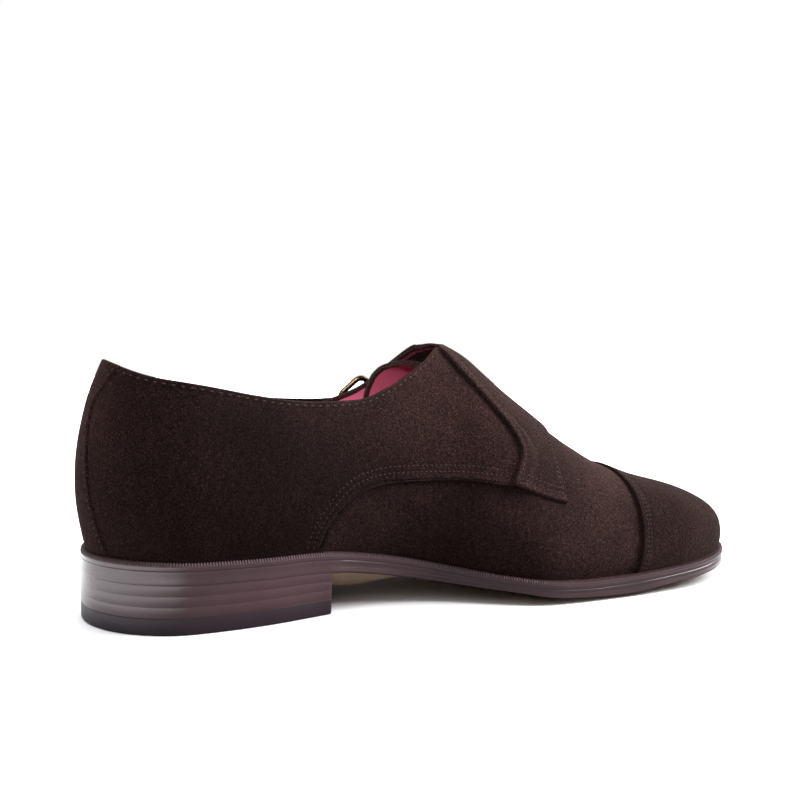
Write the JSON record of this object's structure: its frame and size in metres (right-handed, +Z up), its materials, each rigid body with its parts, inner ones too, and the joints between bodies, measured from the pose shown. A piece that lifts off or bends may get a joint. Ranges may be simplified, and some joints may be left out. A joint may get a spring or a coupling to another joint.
{
  "type": "double monk strap shoe",
  "caption": "Men's low suede shoe for the left foot: cap toe, two buckled straps over the instep, stitched welt and low stacked heel.",
  "frame": {"origin": "on the ground under the middle of the whole shoe's length and width", "axes": "+X towards the toe, +Y towards the outer side of the foot, +Z up from the ground"},
  "size_m": [0.3017, 0.1023, 0.1076],
  "materials": {
    "suede": "dark brown suede",
    "suede_light": "dark brown suede with its nap brushed up",
    "lining": "smooth raspberry lining leather",
    "stained_edge": "stained and waxed sole leather",
    "stacked_leather": "stained and burnished heel leather",
    "rubber": "satin",
    "brass": "antique, dark"
  },
  "bodies": {
    "root": {"outsole": "stained_edge", "welt": "stained_edge", "heel_rand": "stained_edge", "insole": "lining", "heel_lift_1": "stacked_leather", "heel_lift_2": "stacked_leather", "heel_lift_3": "stacked_leather", "top_piece": "rubber", "upper": "suede", "tongue": "suede_light", "toe_cap": "suede", "back_strip": "suede", "quarter_medial": "suede", "quarter_lateral": "suede", "strap_panel": "suede_light", "buckle_upper": "brass", "buckle_lower": "brass", "tab_upper": "suede", "tab_lower": "suede"}
  },
  "joints": []
}
